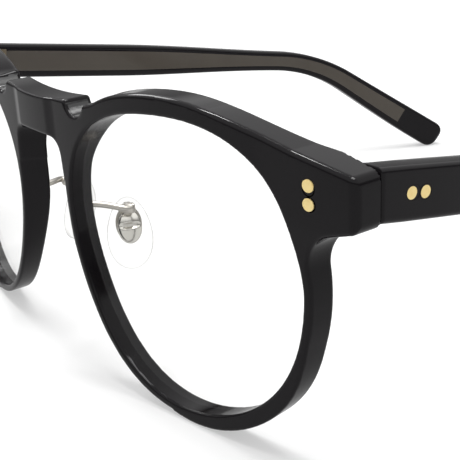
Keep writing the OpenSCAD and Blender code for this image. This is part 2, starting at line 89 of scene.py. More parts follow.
# ---------------------------------------------------------------- camera
CAM_AT = Vector((0.146794, -0.149285, 0.079489))
CAM_AZIMUTH, CAM_DOWN, CAM_ROLL, CAM_LENS = rad(53.335), rad(19.963), rad(-1.316), 76.70
forward = Vector((-math.sin(CAM_AZIMUTH) * math.cos(CAM_DOWN),
                  math.cos(CAM_AZIMUTH) * math.cos(CAM_DOWN),
                  -math.sin(CAM_DOWN)))
level = forward.cross(Vector((0, 0, 1))).normalized()
above = level.cross(forward)
cam_right = level * math.cos(CAM_ROLL) + above * math.sin(CAM_ROLL)
cam_up = cam_right.cross(forward)
cam_data = bpy.data.cameras.new("camera")
cam_data.lens = CAM_LENS
cam_data.sensor_fit = "AUTO"
cam_data.sensor_width = 36.0
cam_data.clip_start = 0.01
cam_data.clip_end = 20
camera = bpy.data.objects.new("camera", cam_data)
scene.collection.objects.link(camera)
cam_axes = Matrix((cam_right, cam_up, -forward)).transposed()
camera.matrix_world = Matrix.Translation(CAM_AT) @ cam_axes.to_4x4()
scene.camera = camera


# ---------------------------------------------------------------- helpers
def put(name, verts, faces, material, body, stands_for=(), normals=None):
    """A smooth mesh piece from row-frame millimetres, riding on a body."""
    mesh = bpy.data.meshes.new(name)
    verts = np.asarray(verts, np.float64) * MM
    mesh.from_pydata(verts.tolist(), [], [list(map(int, f)) for f in faces])
    mesh.materials.append(material)
    mesh.shade_smooth()
    if normals is not None:
        mesh.normals_split_custom_set_from_vertices(np.asarray(normals).tolist())
    mesh.validate()
    obj = bpy.data.objects.new(name, mesh)
    scene.collection.objects.link(obj)
    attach(obj, body)
    if stands_for:
        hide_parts(*stands_for)
    return obj


def turn_to_row(n):
    """Directions in the front frame, as directions in the row frame."""
    n = np.asarray(n, float)
    y = n[..., 1] * math.cos(LEAN) - n[..., 2] * math.sin(LEAN)
    z = n[..., 1] * math.sin(LEAN) + n[..., 2] * math.cos(LEAN)
    return np.stack([n[..., 0], y, z], -1)


def front_to_row(p):
    """Places in the front frame, as places in the row frame, in mm."""
    return turn_to_row(p) + np.array([0, ORIGIN_Y, EYE_Z])


# ---------------------------------------------------------------- distance fields, negative inside
def both(a, b, r):
    """Where both solids are, with the edge between them rounded to r."""
    return np.minimum(np.maximum(a, b), -r) + np.hypot(np.maximum(a + r, 0), np.maximum(b + r, 0))


def either(a, b, r):
    """Where either solid is, with a fillet of r between them."""
    return np.maximum(np.minimum(a, b), r) - np.hypot(np.maximum(r - a, 0), np.maximum(r - b, 0))


def rise(x, start, over):
    """A smooth step: 0 up to start, and 1 from start + over on."""
    c = np.clip((x - start) / over, 0, 1)
    return c * c * (3 - 2 * c)


def eye_r(a):
    """Radius of the lens opening at an angle from the lens centre."""
    share = 1
    for n, swing, at in EYE_WAVES:
        share = share + swing * np.cos(n * (a - rad(at)))
    return EYE_R * share


def rim_r(a):
    """Radius of the rim's outer edge, as in the part's source."""
    return eye_r(a) + RIM_SIDE + RIM_TOP_MORE * np.maximum(0, np.cos(a - RIM_TOP_AT)) ** 1.5


# below and outside the lens the rim is wider than the source has it, most of all at the front
LOW_MORE, LOW_AT, LOW_REACH, LOW_BACK = 1.2, rad(-58), rad(43), 0.35


def low_more(a, depth):
    """How much wider the rim is there, at an angle and a share of its depth."""
    off = np.minimum(1, np.abs(a - LOW_AT) / LOW_REACH)
    return LOW_MORE * (1 - off ** 3) ** 2 * (1 - LOW_BACK * depth)


# top edge: a crest over the lens, a fall towards the endpiece, and a slight upturn at its end
CREST, FALL, FALL_FROM, FALL_OVER = 25.3, 4.25, 31, 17
UPTURN, UPTURN_FROM = 0.06, 56


def top_line(x):
    """Height of the front's top edge beyond the middle of the rim."""
    c = np.clip((x - FALL_FROM) / FALL_OVER, 0, 1)
    past = np.maximum(0, (x - (FALL_FROM + FALL_OVER)) / FALL_OVER)
    return CREST - FALL * (c ** 3 - c ** 4 / 2 + past) + UPTURN * np.maximum(0, x - UPTURN_FROM)


# depth of the two faces; pairs are a start and a width for rise()
FLAT_SOFT, FLAT_V, FLAT_X = 0.15, (1, 11), 30
TOP_THICKER, TOP_THICKER_LESS = 0.85, 0.4
TOP_THICKER_V, TOP_THICKER_X = (10, 8), (42, 14)
BLOCK_Y, BLOCK_X, BLOCK_SLOPE, BLOCK_SOFT = 10.1, 49.3, 0.541, 0.9
BLOCK_FROM_V, BLOCK_TO_V, BLOCK_FROM_X = (9.2, 2.4), (18.3, 1.6), (40, 10)
BACK_EASE, BACK_EASE_X = 0.08, (50, 4)


def depth_front(x, v):
    """Depth of the front face: the curved sheet, then the flat face of the thick end."""
    sheet = RADIUS - np.sqrt(RADIUS ** 2 - x ** 2)
    face = CORNER_Y - (HALF_W - x) * math.tan(YAW)
    lead = np.hypot(np.maximum(sheet - face, 0), FLAT_SOFT) - FLAT_SOFT
    return sheet - lead * rise(v, *FLAT_V) * (x > FLAT_X)


def depth_back(x, v):
    """Depth of the back: thicker along the top, and thickest where the hinge is let in."""
    thick = THICK + (TOP_THICKER - TOP_THICKER_LESS * rise(x, *TOP_THICKER_X)) * rise(v, *TOP_THICKER_V)
    sheet = RADIUS - np.sqrt((RADIUS - thick) ** 2 - x ** 2)
    inner = BLOCK_Y + BLOCK_SLOPE * (x - BLOCK_X)
    lead = 0.5 * (inner - sheet + np.hypot(inner - sheet, BLOCK_SOFT))
    return sheet + lead * rise(v, *BLOCK_FROM_V) * rise(x, *BLOCK_FROM_X) * (1 - rise(v, *BLOCK_TO_V))


# outline of the endpiece and the bridge
UNDER_FROM, UNDER_TO = (62.6, 10.9), (HALF_W, END_BOTTOM - 0.5)
END_FROM, END_SLANT = 33, 0.97
END_FILLET, END_FILLET_LOW, END_FILLET_V = 0.05, 4.8, (12, 4)
BAR_TOP, BAR_MID, BAR_SADDLE, BAR_BOTTOM, BAR_REACH, BAR_FILLET = 21.6, 21.1, 0.005, 8.0, 19, 0.6
# how far the bridge's face stands proud, flat and domed
PROUD_FACE, PROUD_X, PROUD_DOME, DOME_HALF = 0.34, (4.4, 2.8), 0.1, 5.5
# roundings of the edges
EDGE_FRONT, EDGE_FRONT_MORE, EDGE_V, EDGE_X = 0.4, 0.4, (6, 10), (6, 5)
EDGE_BACK, EDGE_END, EDGE_MITRE, EDGE_EYE, EDGE_EYE_BACK, EDGE_CUT = 0.6, 1.1, 0.12, 0.5, 0.4, 0.5
# the cut between the rims: an arch under the bridge, then the rims' flanks, slanted by depth
CUT_SLANT, ARCH_HALF, ARCH_TOP, ARCH_R, ARCH_FLARE, ARCH_FLARE_V = 0.732, 7.6, 14.75, 3.0, 0.08, 12.5
FLANK_TOP, FLANK_FILLET, CUT_SCALE = 7.4, 0.8, 0.85


def outline_field(x, v, rim):
    """The front's outline: rim, endpiece and bridge."""
    (x0, v0), (x1, v1) = UNDER_FROM, UNDER_TO
    under = -((v - v0) * (x1 - x0) - (x - x0) * (v1 - v0)) / math.hypot(x1 - x0, v1 - v0)
    end = np.maximum(np.maximum((v - top_line(x)) * END_SLANT, under), END_FROM - x)
    outline = either(end, rim, END_FILLET + END_FILLET_LOW * (1 - rise(v, *END_FILLET_V)))
    bar_top = np.minimum(BAR_TOP, BAR_MID + BAR_SADDLE * x ** 2)
    bar = np.maximum(np.maximum(v - bar_top, BAR_BOTTOM - v), x - BAR_REACH)
    return either(outline, bar, BAR_FILLET)


def nose_field(x, y, v):
    """What is cut away between the rims."""
    xs = x + CUT_SLANT * y
    qx = xs - ARCH_HALF + ARCH_R - ARCH_FLARE * np.maximum(0, ARCH_FLARE_V - v)
    qv = v - ARCH_TOP + ARCH_R
    arch = np.minimum(np.maximum(qx, qv), 0) + np.hypot(np.maximum(qx, 0), np.maximum(qv, 0)) - ARCH_R
    dx = xs - EYE_X
    flank = np.maximum(rim_r(np.arctan2(v, dx)) - np.hypot(dx, v), np.maximum(v - FLANK_TOP, dx))
    return either(arch, flank, FLANK_FILLET) * CUT_SCALE


def hinge_room(x, y, v):
    """Room for the hinge's barrel and plate."""
    barrel = np.maximum(np.hypot(x - AXIS_X, y - MITRE_Y) - BARREL_R, np.abs(v - HINGE_V) - BARREL_HALF)
    plate = np.maximum(np.maximum(PLATE_FROM - x, x - PLATE_TO),
                       np.maximum(MITRE_Y - PLATE_DEEP - y, np.abs(v - HINGE_V) - PLATE_HALF))
    return np.minimum(barrel, plate)


def front_field(u, y, v):
    """The whole plastic front."""
    x = np.abs(u)
    near = depth_front(x, v)
    tilt = 1 / np.hypot(1, x / RADIUS)
    ahead = (near - y) * tilt
    behind = (y - depth_back(x, v)) * tilt * (1 - BACK_EASE * rise(x, *BACK_EASE_X))
    depth = np.clip((y - near) / THICK, 0, 1)
    rho = np.hypot(x - EYE_X, v)
    a = np.arctan2(v, x - EYE_X)
    swell = SWELL * np.maximum(0, np.cos(a - SWELL_AT)) ** 6
    rim = rho - rim_r(a) - swell * depth - low_more(a, depth)
    ahead -= PROUD_FACE * (1 - rise(x, *PROUD_X)) + PROUD_DOME * np.maximum(0, 1 - (x / DOME_HALF) ** 2)
    edge = EDGE_FRONT + EDGE_FRONT_MORE * rise(v, *EDGE_V) * rise(x, *EDGE_X)
    solid = both(outline_field(x, v, rim), ahead, edge)
    solid = both(solid, behind, EDGE_BACK)
    solid = both(solid, x - HALF_W, EDGE_END)
    solid = both(solid, y - MITRE_Y, EDGE_MITRE)
    solid = np.maximum(solid, -hinge_room(x, y, v))
    solid = np.maximum(solid, both(both(eye_r(a) - rho, ahead, EDGE_EYE), behind, EDGE_EYE_BACK))
    solid = both(solid, -nose_field(x, y, v), EDGE_CUT)
    notch = np.hypot(x - NOTCH_X, v - NOTCH_V) - NOTCH_R
    return both(solid, -notch, EDGE_CUT)


# ---------------------------------------------------------------- meshing
BLOCK = 6  # cells along each side of the blocks that are looked at first
FAR = 9.0  # value given to places that are nowhere near the surface
# half a block's diagonal, for fields that are up to 1.4 times too steep, and some to spare
BLOCK_REACH, BLOCK_SPARE = 0.87 * 1.4, 0.4
PROBE, NORMAL_PROBE = 0.02, 0.03  # steps that slopes are measured over
STRIDE, SHALLOW, TINY = 0.6, 0.05, 1e-9  # longest move in cells, and least squared slope and length


def slope(field, p, eps=PROBE):
    """Slope of a field at each place."""
    g = []
    for i in range(3):
        e = np.zeros(3)
        e[i] = eps
        g.append((field(*(p + e).T) - field(*(p - e).T)) / (2 * eps))
    return np.stack(g, -1)


def unit(g):
    """Rows made one long."""
    return g / np.maximum(np.linalg.norm(g, axis=1, keepdims=True), TINY)


def settle(field, p, h, rounds=4):
    """Moves points onto the surface of the field."""
    for _ in range(rounds):
        g = slope(field, p)
        d = field(*p.T)
        step = g * (d / np.maximum((g * g).sum(1), SHALLOW))[:, None]
        size = np.linalg.norm(step, axis=1, keepdims=True)
        p = p - step * np.minimum(1, STRIDE * h / np.maximum(size, TINY))
    return p


def sampled(field, low, h, blocks):
    """The field at the corners of a grid of cells, worked out only in the blocks near the surface."""
    n = blocks * BLOCK + 1
    grids = [low[i] + h * BLOCK * (np.arange(blocks[i]) + 0.5) for i in range(3)]
    coarse = field(*np.meshgrid(*grids, indexing="ij"))
    values = np.full(n, FAR, np.float32)
    side = np.where(coarse < 0, -FAR, FAR).astype(np.float32)
    values[:-1, :-1, :-1] = side.repeat(BLOCK, 0).repeat(BLOCK, 1).repeat(BLOCK, 2)
    keep = np.zeros(n, bool)
    for block in np.argwhere(np.abs(coarse) < h * BLOCK * BLOCK_REACH + BLOCK_SPARE):
        keep[tuple(slice(i * BLOCK, (i + 1) * BLOCK + 1) for i in block)] = True
    values[keep] = field(*(low + h * np.argwhere(keep)).T)
    return values


def crossed_cells(values, low, h):
    """A vertex in each cell that the surface crosses, amid its edges' crossings, and the cells' index."""
    inside = values < 0
    m = np.array(values.shape) - 1
    corners = [(i, j, k) for i in (0, 1) for j in (0, 1) for k in (0, 1)]
    count = np.zeros(m, np.int8)
    for i, j, k in corners:
        count += inside[i:i + m[0], j:j + m[1], k:k + m[2]]
    cells = np.argwhere((count > 0) & (count < 8))
    index = -np.ones(m, np.int64)
    index[tuple(cells.T)] = np.arange(len(cells))
    total = np.zeros((len(cells), 3))
    hits = np.zeros(len(cells))
    for a in corners:
        for axis in range(3):
            if a[axis]:
                continue
            b = list(a)
            b[axis] = 1
            fa = values[tuple((cells + a).T)]
            fb = values[tuple((cells + b).T)]
            cross = (fa < 0) != (fb < 0)
            t = np.where(cross, fa / np.where(cross, fa - fb, 1), 0)
            at = cells + np.array(a, float)
            at[:, axis] += t
            total += at * cross[:, None]
            hits += cross
    return low + h * total / hits[:, None], index


def quads(values, index):
    """One quad for each grid edge that the surface crosses, turned outwards."""
    inside = values < 0
    n = values.shape
    faces = []
    for axis in range(3):
        o1, o2 = [(1, 2), (2, 0), (0, 1)][axis]
        lo = [slice(0, s) for s in n]
        hi = list(lo)
        lo[axis] = slice(0, n[axis] - 1)
        hi[axis] = slice(1, n[axis])
        at = np.argwhere(inside[tuple(lo)] != inside[tuple(hi)])
        at = at[(at[:, o1] > 0) & (at[:, o2] > 0) & (at[:, o1] < n[o1] - 1) & (at[:, o2] < n[o2] - 1)]
        e1, e2 = np.zeros(3, int), np.zeros(3, int)
        e1[o1], e2[o2] = 1, 1
        quad = np.stack([index[tuple((at - e).T)] for e in (e1 + e2, e2, 0 * e1, e1)], 1)
        flip = ~inside[tuple(at.T)]
        quad[flip] = quad[flip][:, ::-1]
        faces.append(quad)
    return np.concatenate(faces)


def skin(field, low, high, h):
    """A quad mesh of a field's surface, with normals: one vertex per cell that the surface crosses."""
    low, high = np.array(low, float), np.array(high, float)
    values = sampled(field, low, h, np.ceil((high - low) / (h * BLOCK)).astype(int))
    p, index = crossed_cells(values, low, h)
    faces = quads(values, index)
    p = settle(field, p, h)
    for _ in range(2):  # evens out the quads along the surface
        mean, weight = np.zeros_like(p), np.zeros(len(p))
        for i in range(4):
            np.add.at(mean, faces[:, i], p[faces[:, (i + 1) % 4]] + p[faces[:, i - 1]])
            np.add.at(weight, faces[:, i], 2)
        move = mean / np.maximum(weight, 1)[:, None] - p
        g = unit(slope(field, p))
        p = settle(field, p + 0.5 * (move - g * (move * g).sum(1, keepdims=True)), h, 2)
    return p, faces, unit(slope(field, p, NORMAL_PROBE))


# ---------------------------------------------------------------- materials
def material(name, **values):
    """A new material with its Principled node set, its tree and that node."""
    m = bpy.data.materials.new(name)
    m.use_nodes = True
    bsdf = m.node_tree.nodes["Principled BSDF"]
    for key, value in values.items():
        bsdf.inputs[key.replace("_", " ")].default_value = value
    return m, m.node_tree, bsdf


def noise(tree, scale, detail=2.0):
    """Noise by place on the object."""
    tc = tree.nodes.new("ShaderNodeTexCoord")
    n = tree.nodes.new("ShaderNodeTexNoise")
    n.inputs["Scale"].default_value = scale
    n.inputs["Detail"].default_value = detail
    tree.links.new(tc.outputs["Object"], n.inputs["Vector"])
    return n.outputs["Fac"]


def spread(tree, source, low, high, socket):
    """Drives a socket from low to high as the source goes from 0 to 1."""
    r = tree.nodes.new("ShaderNodeMapRange")
    r.inputs["To Min"].default_value = low
    r.inputs["To Max"].default_value = high
    tree.links.new(source, r.inputs["Value"])
    tree.links.new(r.outputs["Result"], socket)


def bump(tree, bsdf, source, strength, distance):
    """Raises the surface by the source, in shading alone."""
    b = tree.nodes.new("ShaderNodeBump")
    b.inputs["Strength"].default_value = strength
    b.inputs["Distance"].default_value = distance
    tree.links.new(source, b.inputs["Height"])
    tree.links.new(b.outputs["Normal"], bsdf.inputs["Normal"])


def two_tone(tree, source, low, high, socket, ends=(0, 1)):
    """Drives a colour socket from one colour to another."""
    ramp = tree.nodes.new("ShaderNodeValToRGB")
    for stop, colour, at in zip(ramp.color_ramp.elements, (low, high), ends):
        stop.color = (*colour, 1)
        stop.position = at
    tree.links.new(source, ramp.inputs["Fac"])
    tree.links.new(ramp.outputs["Color"], socket)


def reckon(tree, operation, *values):
    """A Math node of sockets and plain numbers."""
    node = tree.nodes.new("ShaderNodeMath")
    node.operation = operation
    for socket, value in zip(node.inputs, values):
        if isinstance(value, float):
            socket.default_value = value
        else:
            tree.links.new(value, socket)
    return node.outputs["Value"]


def facing(tree):
    """How far a surface turns away from the eye."""
    turn = tree.nodes.new("ShaderNodeLayerWeight")
    turn.inputs["Blend"].default_value = 0.5
    return turn.outputs["Facing"]


def mixed(tree, first, second, output):
    """Shows a mix of two shaders, and gives the socket for the second one's share."""
    mix = tree.nodes.new("ShaderNodeMixShader")
    tree.links.new(first, mix.inputs[1])
    tree.links.new(second, mix.inputs[2])
    tree.links.new(mix.outputs["Shader"], tree.nodes[output].inputs["Surface"])
    return mix.inputs["Fac"]


def acetate(name, low, high):
    """Polished plastic with faint clouds and waves."""
    m, tree, bsdf = material(name, Specular_IOR_Level=0.22, IOR=1.49)
    cloud = noise(tree, 90, 3)
    two_tone(tree, cloud, low, high, bsdf.inputs["Base Color"])
    spread(tree, cloud, 0.07, 0.14, bsdf.inputs["Roughness"])
    bump(tree, bsdf, noise(tree, 160, 1), 0.03, 0.0004)
    return m


def metal(name, low, high, rough, scale=900, metallic=1.0):
    """Metal with a fine grain."""
    m, tree, bsdf = material(name, Metallic=metallic)
    grain = noise(tree, scale, 3)
    two_tone(tree, grain, low, high, bsdf.inputs["Base Color"])
    spread(tree, grain, rough - 0.06, rough + 0.08, bsdf.inputs["Roughness"])
    bump(tree, bsdf, grain, 0.12, 0.00005)
    return m


def see_through(name, clear, shader, power, least, most):
    """A pane that is clear face on and shows a second shader where it turns away."""
    m, tree, bsdf = material(name)
    tree.nodes.remove(bsdf)
    see = tree.nodes.new("ShaderNodeBsdfTransparent")
    see.inputs["Color"].default_value = (*clear, 1)
    second = tree.nodes.new(shader)
    share = mixed(tree, see.outputs["BSDF"], second.outputs["BSDF"], "Material Output")
    spread(tree, reckon(tree, "POWER", facing(tree), power), least, most, share)
    return m, tree, second


black = acetate("black_acetate", (0.0035, 0.0028, 0.0035), (0.006, 0.005, 0.0062))
inside = acetate("temple_inside", (0.060, 0.052, 0.044), (0.078, 0.069, 0.058))
steel = metal("steel", (0.52, 0.52, 0.53), (0.68, 0.68, 0.69), 0.28)
pad_steel = metal("pad_steel", (0.60, 0.57, 0.52), (0.74, 0.71, 0.65), 0.3)
gold = metal("gold", (0.93, 0.68, 0.25), (1.0, 0.84, 0.42), 0.34, 1400, 0.4)
hinge_gold = metal("hinge_gold", (0.17, 0.14, 0.10), (0.25, 0.21, 0.15), 0.35)

# saw marks in the notches, with pale bands of painted highlight in their colour standing in for the bright
# streaks that light makes there
sawn_painted_streaks, tree, bsdf = material("sawn_notch_painted_streaks", Specular_IOR_Level=0.9, IOR=1.49)
tc = tree.nodes.new("ShaderNodeTexCoord")
bands = tree.nodes.new("ShaderNodeTexWave")
bands.bands_direction = "X"
bands.inputs["Scale"].default_value = 260
bands.inputs["Distortion"].default_value = 1.5
bands.inputs["Detail"].default_value = 2.0
tree.links.new(tc.outputs["Object"], bands.inputs["Vector"])
# the pale bands in the colour are painted highlight for the notch's bright streaks
two_tone(tree, bands.outputs["Fac"], (0.004, 0.004, 0.005), (0.10, 0.10, 0.10),
         bsdf.inputs["Base Color"])
spread(tree, bands.outputs["Fac"], 0.12, 0.3, bsdf.inputs["Roughness"])
bump(tree, bsdf, bands.outputs["Fac"], 0.6, 0.0002)

# the dark seat round a rivet
seat, tree, bsdf = material("rivet_seat", Specular_IOR_Level=0.0, Roughness=0.8)
two_tone(tree, noise(tree, 900), (0.001, 0.0008, 0.0006), (0.003, 0.002, 0.0012),
         bsdf.inputs["Base Color"])

glass, tree, shine = see_through("lens", (0.992, 0.992, 0.99), "ShaderNodeBsdfGlossy", 5.0, 0.015, 0.5)
spread(tree, noise(tree, 60), 0.01, 0.03, shine.inputs["Roughness"])

# the clear pad takes a painted grey shade where its surface turns away from the eye, standing in for the dark
# edges of clear plastic
pad_clear, tree, painted_edge_shade = see_through(
    "pad_clear", (0.985, 0.985, 0.98), "ShaderNodeBsdfDiffuse", 3.0, 0.004, 0.8)
two_tone(tree, noise(tree, 300), (0.27, 0.27, 0.26), (0.36, 0.36, 0.35), painted_edge_shade.inputs["Color"])

# pad metal: bright face on, with painted shade darkening its colour where its surface turns away from the eye
boss_steel, tree, bsdf = material("boss_steel", Metallic=1.0)
two_tone(tree, facing(tree), (0.86, 0.84, 0.78), (0.16, 0.15, 0.12),
         bsdf.inputs["Base Color"], (0.35, 0.95))
grain = noise(tree, 900, 3)
spread(tree, grain, 0.14, 0.24, bsdf.inputs["Roughness"])
bump(tree, bsdf, grain, 0.12, 0.00005)

for name, node in nodes.items():
    use = black
    if name.startswith("lens"):
        use = glass
    elif "rivets" in name:
        use = gold
    elif name.startswith("nose_pad"):
        use = pad_clear
    elif name.startswith("pad_"):
        use = pad_steel
    elif "hinge" in name and "screw" not in name:
        use = hinge_gold
    elif "hinge" in name or name.startswith("core"):
        use = steel
    node.data.materials.clear()
    node.data.materials.append(use)

# ---------------------------------------------------------------- front
front_step = 0.33
p, faces, normal = skin(front_field, (-68, -2.5, -27.5), (68, 18, 28), front_step)
front = put("front", front_to_row(p), faces, black, "front", ["front_frame"],
            turn_to_row(normal))
front.data.materials.append(sawn_painted_streaks)
ON_CUT = 0.03  # how near the notch's own surface a vertex is that belongs to it
cut = np.abs(np.hypot(np.abs(p[:, 0]) - NOTCH_X, p[:, 2] - NOTCH_V) - NOTCH_R) < ON_CUT
# the notch's faces take the saw-marked material with its painted highlight bands
for face in front.data.polygons:
    if all(cut[v] for v in face.vertices):
        face.material_index = 1


# ---------------------------------------------------------------- temples
STEPS, STRIPE = 7, 0.8  # points round each corner of a ring, and the share of the inner face that is paler
ROUND = 4 * STEPS + 2  # points in a ring
STRIPE_FROM, STRIPE_TO = 3, 76  # rings between which the paler stripe runs
FINE, FINE_TO, COARSE = 0.75, 6, 2.0  # distances between rings, finer near the joint
PROUD = 0.03  # the rivets stand this far out of the outer face
EDGE_R, TIP_R, EDGE_MOST = 0.85, 1.7, 0.95  # roundings, and the most of a half size that one takes
TAPER_FROM, WAIST_AT, WAIST_PAST = 42, STRAIGHT + 2, 0.1
# the lower half is deeper than the source has it, most of all at the tip
LOWER, LOWER_MORE, LOWER_T = 1.12, 0.12, (110, 36)
JOINT_GAP, JOINT_OVER, JOINT_BEVEL = 0.06, 5.0, 0.12
TIP_RINGS = (12, 24, 36, 48, 58, 67, 75, 82, 87)  # degrees round the tip
SHARP = rad(50)


def middle(t):
    """Side-view y and z of the temple's middle at a length along it, and how far it has bent."""
    a = np.clip((t - STRAIGHT) / BEND_R, 0, BEND)
    past = np.maximum(0, t - STRAIGHT - BEND_R * BEND)
    return (np.minimum(t, STRAIGHT) + BEND_R * np.sin(a) + past * np.cos(a),
            -BEND_R * (1 - np.cos(a)) - past * np.sin(a), a)


def temple_h(t):
    """Height of the temple: it narrows to a waist at the bend, and widens again to the tip."""
    narrower = TEMPLE_H - (TEMPLE_H - WAIST_H) * rise(t, TAPER_FROM, WAIST_AT - TAPER_FROM)
    along = WAIST_PAST + (1 - WAIST_PAST) * (t - WAIST_AT) / (WHOLE - WAIST_AT)
    return np.where(t < WAIST_AT, narrower, WAIST_H + (TIP_H - WAIST_H) * rise(along, 0, 1))


def rounded(a, b, c):
    """A rectangle of half sizes a and b with corners of radius c, from the top of its outer face."""
    out = []
    for i, (sx, sy) in enumerate(((1, 1), (-1, 1), (-1, -1), (1, -1))):
        for j in range(STEPS):
            w = math.pi / 2 * (i + j / (STEPS - 1))
            out.append((sx * (a - c) + c * math.cos(w), sy * (b - c) + c * math.sin(w)))
        if i == 1:
            out += [(-a, (b - c) * STRIPE), (-a, -(b - c) * STRIPE)]
    return np.array(out)


def to_temple(x, q_y, q_z):
    """Thickness offset and side-view y and z, dropped and swept in, as x, y and z before the splay."""
    y = q_y * math.cos(DROP) + q_z * math.sin(DROP)
    z = -q_y * math.sin(DROP) + q_z * math.cos(DROP)
    mid_r = SWEEP_R - TEMPLE_T / 2
    turn = np.arcsin(np.clip((y - SWEEP_AT) / mid_r, 0, 1))
    px = TEMPLE_T / 2 - mid_r + (mid_r + x) * np.cos(turn)
    py = np.where(y > SWEEP_AT, SWEEP_AT + (mid_r + x) * np.sin(turn), y)
    return px, py, z


def section(prof, lower, my, mz, lean):
    """An outline set across the temple's middle, with its lower half deepened."""
    prof[:, 1] *= np.where(prof[:, 1] < 0, lower, 1)
    return prof[:, 0], my + prof[:, 1] * math.sin(lean), mz + prof[:, 1] * math.cos(lean)


def temple_mesh():
    """The right-hand temple, swept through rings from the joint to the rounded tip."""
    stations = list(np.arange(0, FINE_TO, FINE)) + list(np.arange(FINE_TO, WHOLE, COARSE)) + [WHOLE]
    rings = []
    for t in stations:
        prof = rounded(TEMPLE_T / 2, temple_h(t) / 2, EDGE_R)
        prof[:, 0] = np.minimum(prof[:, 0], TEMPLE_T / 2 - PROUD)
        rings.append(section(prof, LOWER + LOWER_MORE * rise(t, *LOWER_T), *middle(t)))
    my, mz, lean = middle(WHOLE)
    for w in TIP_RINGS:
        d = TIP_H / 2 * math.sin(rad(w))
        b = TIP_H / 2 * math.cos(rad(w))
        past = max(0, d - (TIP_H / 2 - TIP_R))
        a = TEMPLE_T / 2 - TIP_R + math.sqrt(max(0, TIP_R ** 2 - past ** 2))
        prof = rounded(a, b, min(EDGE_R, b * EDGE_MOST, a * EDGE_MOST))
        at = my + d * math.cos(lean), mz - d * math.sin(lean)
        rings.append(section(prof, LOWER + LOWER_MORE, *at, lean))
    pts = []
    first_y = to_temple(*rings[0])[1]
    for i, ring in enumerate(rings):
        px, py, pz = to_temple(*ring)
        if i < len(stations) and stations[i] < JOINT_OVER:  # leans the first rings with the front's mitre
            py = py + (JOINT_GAP - pz * math.tan(LEAN) - first_y) * (1 - stations[i] / JOINT_OVER)
        pts.append(np.stack([px, py, pz], 1))
    # small bevel and cap at the joint
    rim = pts[0].copy()
    mid = rim.mean(0)
    cap = rim.copy()
    for axis, half in ((0, TEMPLE_T / 2), (2, TEMPLE_H / 2)):
        cap[:, axis] = mid[axis] + (rim[:, axis] - mid[axis]) * (1 - JOINT_BEVEL / half)
    pts[0][:, 1] += JOINT_BEVEL
    pts.insert(0, cap)
    n = len(rim)
    faces = []
    for i in range(len(pts) - 1):
        for j in range(n):
            k = (j + 1) % n
            faces.append((i * n + j, i * n + k, (i + 1) * n + k, (i + 1) * n + j))
    faces.append(tuple(range(n - 1, -1, -1)))
    last = (len(pts) - 1) * n
    faces.append(tuple(last + j for j in range(n)))
    x, y, z = np.concatenate(pts).T
    gx = x * math.cos(SPLAY) + y * math.sin(SPLAY)
    gy = -x * math.sin(SPLAY) + y * math.cos(SPLAY)
    return np.stack([gx + AXIS_X + AXIS_IN, gy + AXIS_Y, z + AXIS_Z], 1), faces


def mirrored(verts, faces):
    """The left-hand twin of a right-hand mesh in the row frame."""
    return verts * np.array([-1, 1, 1]), [tuple(reversed(f)) for f in faces]


verts, faces = temple_mesh()
for side in ("right", "left"):
    if side == "left":
        verts, faces = mirrored(verts, faces)
    temple = put("temple_skin_" + side, verts, faces, black, "temple_" + side,
                 ["temple_" + side])
    temple.data.set_sharp_from_angle(angle=SHARP)
    temple.data.materials.append(inside)
    for face in temple.data.polygons:
        if len(face.vertices) == 4:
            columns = sorted({v % ROUND for v in face.vertices})
            within = STRIPE_FROM * ROUND < face.vertices[0] < STRIPE_TO * ROUND
            if columns == [2 * STEPS, 2 * STEPS + 1] and within:
                face.material_index = 1


# ---------------------------------------------------------------- nose pads and their arms, as in the source
PAD_X, PAD_Y, PAD_Z = 8.6, 11.2, -4.1
PAD_W, PAD_H, PAD_T, PAD_DOME, PAD_EGG = 7.8, 12.6, 2.4, 20.0, 0.14
PAD_EDGE, PAD_DOME_EDGE, PAD_SCALE = 0.7, 0.5, 0.9
PAD_SPLAY, PAD_FLARE = rad(24), rad(12)
SCREW_OUT, SCREW_UP, LUG_R, BOX_HALF, BOX_DEEP, SLOT_HALF = 2.5, 4.6, 0.8, 1.05, 1.0, 0.55
BOX_PAST, BOX_EDGE, HOLD_PAST = 0.5, 0.28, 0.2
ROOT_A, ROOT_V = rad(172), 2.6
WIRE_R, WIRE_FILLET, SLOT_EDGE, BENDS = 0.55, 0.35, 0.08, 14
flare_cos, flare_sin = math.cos(PAD_FLARE), math.sin(PAD_FLARE)
splay_cos, splay_sin = math.cos(PAD_SPLAY), math.sin(PAD_SPLAY)
# the pad's own axes in the front frame: away from the nose, backwards and up
pad_axes = np.array([[flare_cos * splay_cos, -flare_cos * splay_sin, flare_sin],
                     [splay_sin, splay_cos, 0],
                     [-flare_sin * splay_cos, flare_sin * splay_sin, flare_cos]])
pad_at = np.array([PAD_X, PAD_Y, PAD_Z])


def slab(p, half, r):
    """A box of half sizes with edges rounded to r."""
    q = np.abs(p) - (np.array(half) - r)
    return np.linalg.norm(np.maximum(q, 0), axis=-1) + np.minimum(q.max(-1), 0) - r


def pad_field(x, y, z):
    """The clear pad: an egg-shaped plate, domed towards the nose."""
    t = z / (PAD_H / 2)
    w = PAD_W / 2 * (1 - PAD_EGG * np.clip(t, -1, 1))
    side = (np.hypot(y / w, t) - 1) * w * PAD_SCALE
    plate = both(side, np.abs(x) - PAD_T / 2, PAD_EDGE)
    dome = np.sqrt((x - PAD_DOME + PAD_T / 2) ** 2 + y ** 2 + z ** 2) - PAD_DOME
    return both(plate, dome, PAD_DOME_EDGE)


# the button: an ellipsoid cut off at the pad, with a groove across it
BUTTON_AT, BUTTON_R = (1.1, 0, 1.1), (0.95, 2.15, 2.9)
BUTTON_CUT, BUTTON_EDGE, GROOVE_R, GROOVE_AT, GROOVE_EDGE = 1.15, 0.1, 0.5, (2.15, 1.5), 0.2


